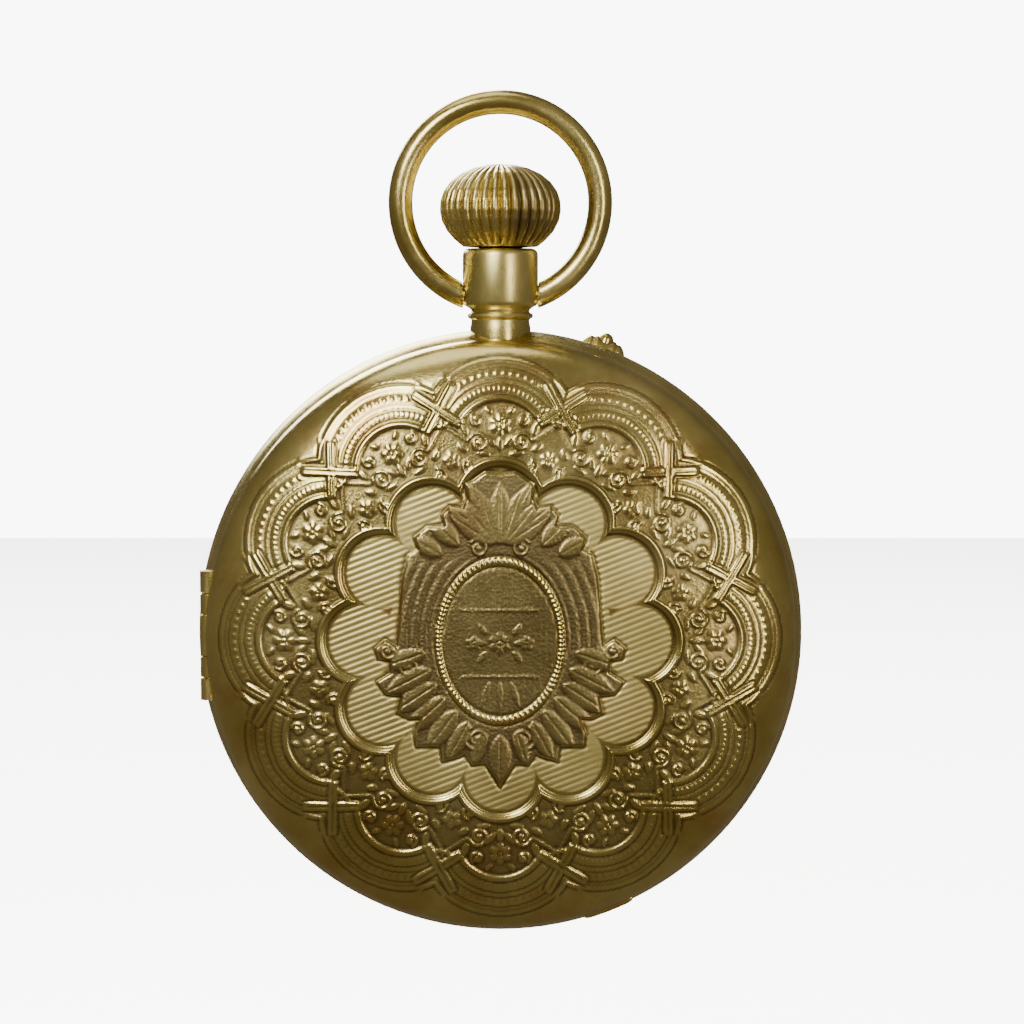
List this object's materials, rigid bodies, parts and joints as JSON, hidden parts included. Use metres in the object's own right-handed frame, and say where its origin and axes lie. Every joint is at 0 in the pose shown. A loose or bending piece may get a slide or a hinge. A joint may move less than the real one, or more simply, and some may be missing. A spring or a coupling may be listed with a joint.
{
  "type": "fob watch",
  "caption": "Open-face fob watch with hinged covers, fluted ball crown, pin-set guard, round bow and a lever movement.",
  "frame": {"origin": "inner top of the bow, where the ribbon or chain that holds the watch bears", "axes": "+Z towards the bow's top (12 o'clock is under it), dial faces -Y, engraved back faces +Y, +X is 3 o'clock"},
  "size_m": [0.033, 0.0099, 0.0459],
  "materials": {
    "case_gold": "polished gold, worn",
    "engraved_gold": "engraved and matted gold, old",
    "gilt_plate": "fine gilt, frosted",
    "wheel_brass": "polished brass",
    "steel": "polished steel",
    "spring_steel": "tempered spring steel",
    "blued_steel": "heat-blued steel",
    "enamel": "white fired enamel on copper",
    "ruby": "polished ruby",
    "crystal": "clear polished glass"
  },
  "bodies": {
    "bow_ring": {"bow": "case_gold"},
    "case": {"pendant": "case_gold", "pendant_sleeve": "steel", "case_middle": "case_gold", "pin_guard": "case_gold", "back_hinge_pin": "steel", "bezel_hinge_pin": "steel", "case_screws": "blued_steel", "dial": "enamel", "yoke_screw": "blued_steel", "yoke_spring": "spring_steel", "main_plate": "gilt_plate", "barrel_bridge": "gilt_plate", "crown_wheel_screw": "blued_steel", "click_screw": "blued_steel", "click_spring": "spring_steel", "train_bridge": "gilt_plate", "pallet_bridge": "gilt_plate", "hairspring_stud": "steel", "balance_cock": "gilt_plate", "jewels": "ruby", "bridge_screws": "blued_steel", "dial_feet_screws": "blued_steel"},
    "back_lid": {"back_cover": "engraved_gold"},
    "inner_lid": {"inner_cover": "case_gold"},
    "bezel_frame": {"bezel": "case_gold", "crystal": "crystal"},
    "winder": {"crown": "case_gold", "winding_stem": "steel", "winding_pinion": "steel"},
    "clutch": {"clutch_wheel": "steel"},
    "setter": {"setting_pin": "case_gold"},
    "yoke_lever": {"yoke": "steel"},
    "crown_gear": {"crown_wheel": "steel"},
    "ratchet": {"ratchet_wheel": "steel", "ratchet_screw": "blued_steel", "barrel_arbor": "steel"},
    "click_lever": {"click": "steel"},
    "barrel_drum": {"barrel": "wheel_brass", "barrel_cover": "wheel_brass", "mainspring": "spring_steel"},
    "minute_works": {"centre_wheel": "wheel_brass", "cannon_pinion": "steel", "minute_hand": "blued_steel"},
    "hour_works": {"hour_wheel": "wheel_brass", "hour_hand": "blued_steel"},
    "minute_gear": {"minute_wheel": "wheel_brass"},
    "setting_gear": {"setting_wheel": "steel"},
    "third_gear": {"third_wheel": "wheel_brass"},
    "fourth_gear": {"fourth_wheel": "wheel_brass"},
    "escape_gear": {"escape_wheel": "wheel_brass"},
    "lever": {"pallet_lever": "steel", "pallet_stones": "ruby"},
    "balance": {"balance_wheel": "wheel_brass", "balance_staff": "steel", "timing_screws": "wheel_brass", "roller": "ruby", "hairspring": "blued_steel"},
    "regulator_arm": {"regulator": "steel"}
  },
  "joints": [
    {"name": "bow_swing", "type": "hinge", "parent": "bow_ring", "child": "case", "pos_m": [0, 0, -0.00944], "axis": [1, 0, 0], "range_deg": [-88, 88]},
    {"name": "back_cover_open", "type": "hinge", "parent": "case", "child": "back_lid", "pos_m": [0.01575, 0.00195, -0.02814], "axis": [0, 0, -1], "range_deg": [0, 105]},
    {"name": "inner_cover_open", "type": "hinge", "parent": "case", "child": "inner_lid", "pos_m": [0.01575, 0.00195, -0.02814], "axis": [0, 0, -1], "range_deg": [0, 80]},
    {"name": "bezel_open", "type": "hinge", "parent": "case", "child": "bezel_frame", "pos_m": [0.01575, -0.00195, -0.02814], "axis": [0, 0, 1], "range_deg": [0, 105]},
    {"name": "crown_turn", "type": "hinge", "parent": "case", "child": "winder", "pos_m": [0, 0, -0.00814], "axis": [0, 0, 1], "continuous": true},
    {"name": "setting_push", "type": "slide", "parent": "case", "child": "setter", "axis": [0.342, 0, -0.9397], "range_m": [0, 0.0004], "stiffness_N_per_m": 300, "springref_m": -0.0004},
    {"name": "clutch_slide", "type": "slide", "parent": "winder", "child": "clutch", "axis": [0, 0, -1], "range_m": [0, 0.00076]},
    {"name": "yoke_rock", "type": "hinge", "parent": "case", "child": "yoke_lever", "pos_m": [-0.0075, -0.0018, -0.01914], "axis": [0, 1, 0], "range_deg": [0, 5.8], "deforming": ["yoke_spring"]},
    {"name": "crown_wheel_turn", "type": "hinge", "parent": "case", "child": "crown_gear", "pos_m": [0, 0.0026, -0.01784], "axis": [0, -1, 0], "continuous": true},
    {"name": "ratchet_turn", "type": "hinge", "parent": "case", "child": "ratchet", "pos_m": [0.00196, 0.0026, -0.02328], "axis": [0, -1, 0], "continuous": true, "deforming": ["mainspring"]},
    {"name": "click_rock", "type": "hinge", "parent": "case", "child": "click_lever", "pos_m": [0.00703, 0.0026, -0.02201], "axis": [0, -1, 0], "range_deg": [0, 8], "stiffness_Nm_per_rad": 0.0005, "springref_deg": -5.73, "deforming": ["click_spring"]},
    {"name": "fourth_turn", "type": "hinge", "parent": "case", "child": "fourth_gear", "pos_m": [-0.00039, 0.00065, -0.03532], "axis": [0, 1, 0], "continuous": true},
    {"name": "third_turn", "type": "hinge", "parent": "case", "child": "third_gear", "pos_m": [-0.00271, 0, -0.03202], "axis": [0, 1, 0], "continuous": true},
    {"name": "minute_turn", "type": "hinge", "parent": "case", "child": "minute_works", "pos_m": [0, -0.0025, -0.02814], "axis": [0, 1, 0], "continuous": true},
    {"name": "hour_turn", "type": "hinge", "parent": "case", "child": "hour_works", "pos_m": [0, -0.0025, -0.02814], "axis": [0, 1, 0], "continuous": true},
    {"name": "minute_wheel_turn", "type": "hinge", "parent": "case", "child": "minute_gear", "pos_m": [-0.00058, -0.0016, -0.02435], "axis": [0, 1, 0], "continuous": true},
    {"name": "setting_wheel_turn", "type": "hinge", "parent": "case", "child": "setting_gear", "pos_m": [0, -0.0014, -0.01974], "axis": [0, 1, 0], "continuous": true},
    {"name": "barrel_turn", "type": "hinge", "parent": "case", "child": "barrel_drum", "pos_m": [0.00196, 0.0004, -0.02328], "axis": [0, 1, 0], "continuous": true, "deforming": ["mainspring"]},
    {"name": "escape_turn", "type": "hinge", "parent": "case", "child": "escape_gear", "pos_m": [0.00316, 0.0002, -0.03648], "axis": [0, 1, 0], "continuous": true},
    {"name": "lever_rock", "type": "hinge", "parent": "case", "child": "lever", "pos_m": [0.00477, 0.0002, -0.03484], "axis": [0, 1, 0], "range_deg": [-5, 5]},
    {"name": "balance_swing", "type": "hinge", "parent": "case", "child": "balance", "pos_m": [0.00672, 0.0013, -0.03285], "axis": [0, 1, 0], "range_deg": [-270, 270], "stiffness_Nm_per_rad": 0.0000001, "deforming": ["hairspring"]},
    {"name": "regulator_turn", "type": "hinge", "parent": "case", "child": "regulator_arm", "pos_m": [0.00672, 0.0028, -0.03285], "axis": [0, 1, 0], "range_deg": [-20, 20]}
  ],
  "couplings": [
    {"joint": "inner_cover_open", "follows": "back_cover_open", "ratio": 0.7},
    {"joint": "clutch_slide", "follows": "setting_push", "ratio": 1.875},
    {"joint": "yoke_rock", "follows": "setting_push", "rad_per_m": 250},
    {"joint": "crown_wheel_turn", "follows": "crown_turn", "ratio": 0.58333},
    {"joint": "ratchet_turn", "follows": "crown_turn", "ratio": -0.33333},
    {"joint": "third_turn", "follows": "fourth_turn", "ratio": -0.13333},
    {"joint": "minute_turn", "follows": "fourth_turn", "ratio": 0.016667},
    {"joint": "hour_turn", "follows": "fourth_turn", "ratio": 0.0013889},
    {"joint": "minute_wheel_turn", "follows": "fourth_turn", "ratio": -0.0055556},
    {"joint": "setting_wheel_turn", "follows": "fourth_turn", "ratio": 0.0090909},
    {"joint": "barrel_turn", "follows": "fourth_turn", "ratio": -0.0027778},
    {"joint": "escape_turn", "follows": "fourth_turn", "ratio": -10}
  ]
}
